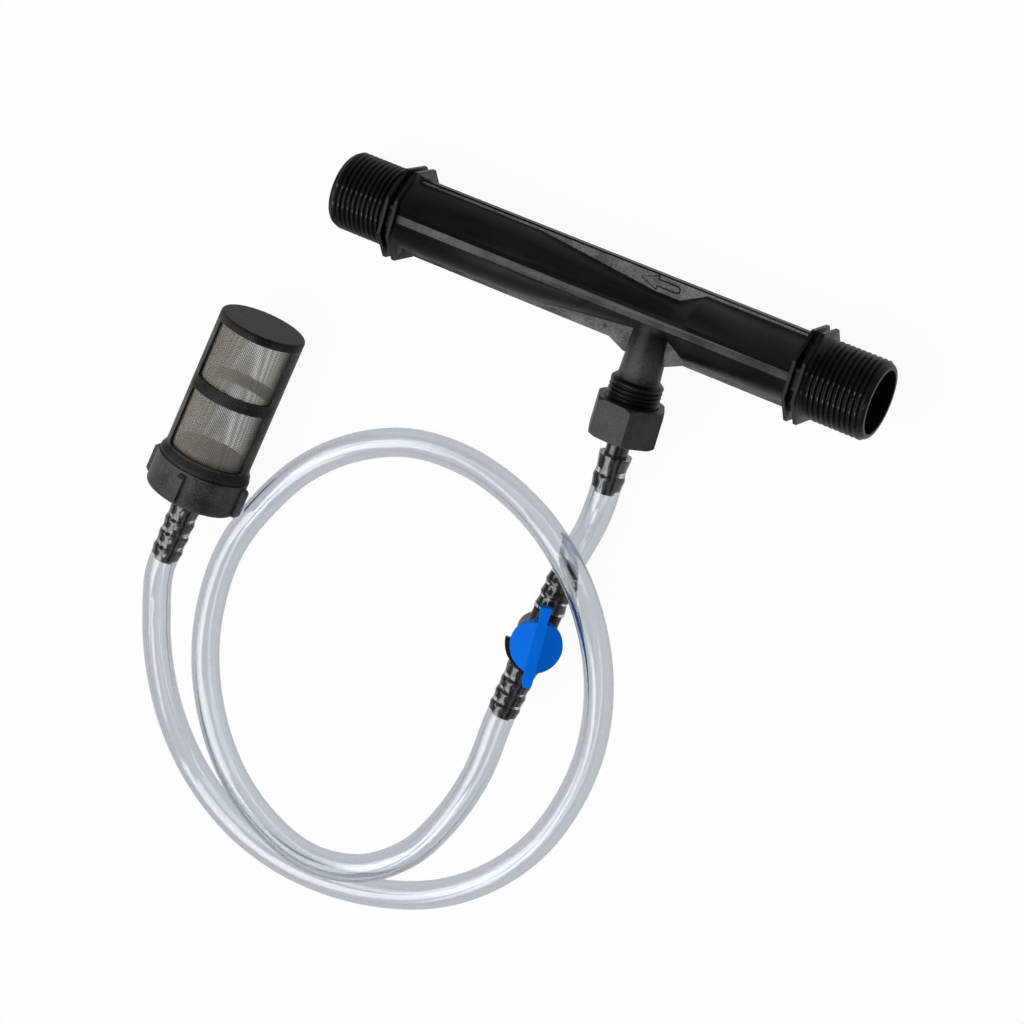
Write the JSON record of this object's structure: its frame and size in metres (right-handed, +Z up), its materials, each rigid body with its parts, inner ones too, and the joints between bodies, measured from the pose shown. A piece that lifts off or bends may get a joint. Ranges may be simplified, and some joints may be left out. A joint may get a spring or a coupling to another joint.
{
  "type": "venturi fertilizer injector",
  "caption": "In-line venturi injector: a finned tube with threaded ends, a waisted throat and a side suction branch, with a clear hose, a shut-off valve and a foot strainer.",
  "frame": {"origin": "on the floor under the middle of the box round the injector body and its fitted suction branch", "axes": "+X along the body toward the inlet, +Z up from the floor that the flange flats lie on, the suction branch toward -Y"},
  "size_m": [0.3027, 0.3248, 0.0472],
  "materials": {
    "black_plastic": "moulded, fine grain",
    "white_plastic": "smooth",
    "blue_plastic": "moulded, satin",
    "seal_rubber": "smooth",
    "clear_hose": "clear, glossy",
    "wire_mesh": "fine woven mesh"
  },
  "bodies": {
    "injector": {"venturi_body": "black_plastic", "suction_washer": "seal_rubber", "suction_barb": "black_plastic", "suction_nut": "black_plastic", "suction_hose": "clear_hose", "valve_body": "black_plastic", "feed_hose": "clear_hose", "strainer_barb": "black_plastic", "strainer_nut": "black_plastic", "strainer_washer": "seal_rubber", "strainer_cage": "black_plastic", "strainer_mesh": "wire_mesh"},
    "plug": {"valve_plug": "blue_plastic", "valve_o_ring_upper": "seal_rubber", "valve_o_ring_lower": "seal_rubber"},
    "ball": {"check_ball": "white_plastic"}
  },
  "joints": [
    {"name": "handle_turn", "type": "hinge", "parent": "injector", "child": "plug", "pos_m": [0.0131, -0.1207, 0.016], "axis": [0.4469, 0.067, 0.8921], "range_deg": [-9.5, 80.5]},
    {"name": "check_ball_lift", "type": "slide", "parent": "injector", "child": "ball", "axis": [0, 1, 0], "range_m": [0, 0.0022]}
  ]
}
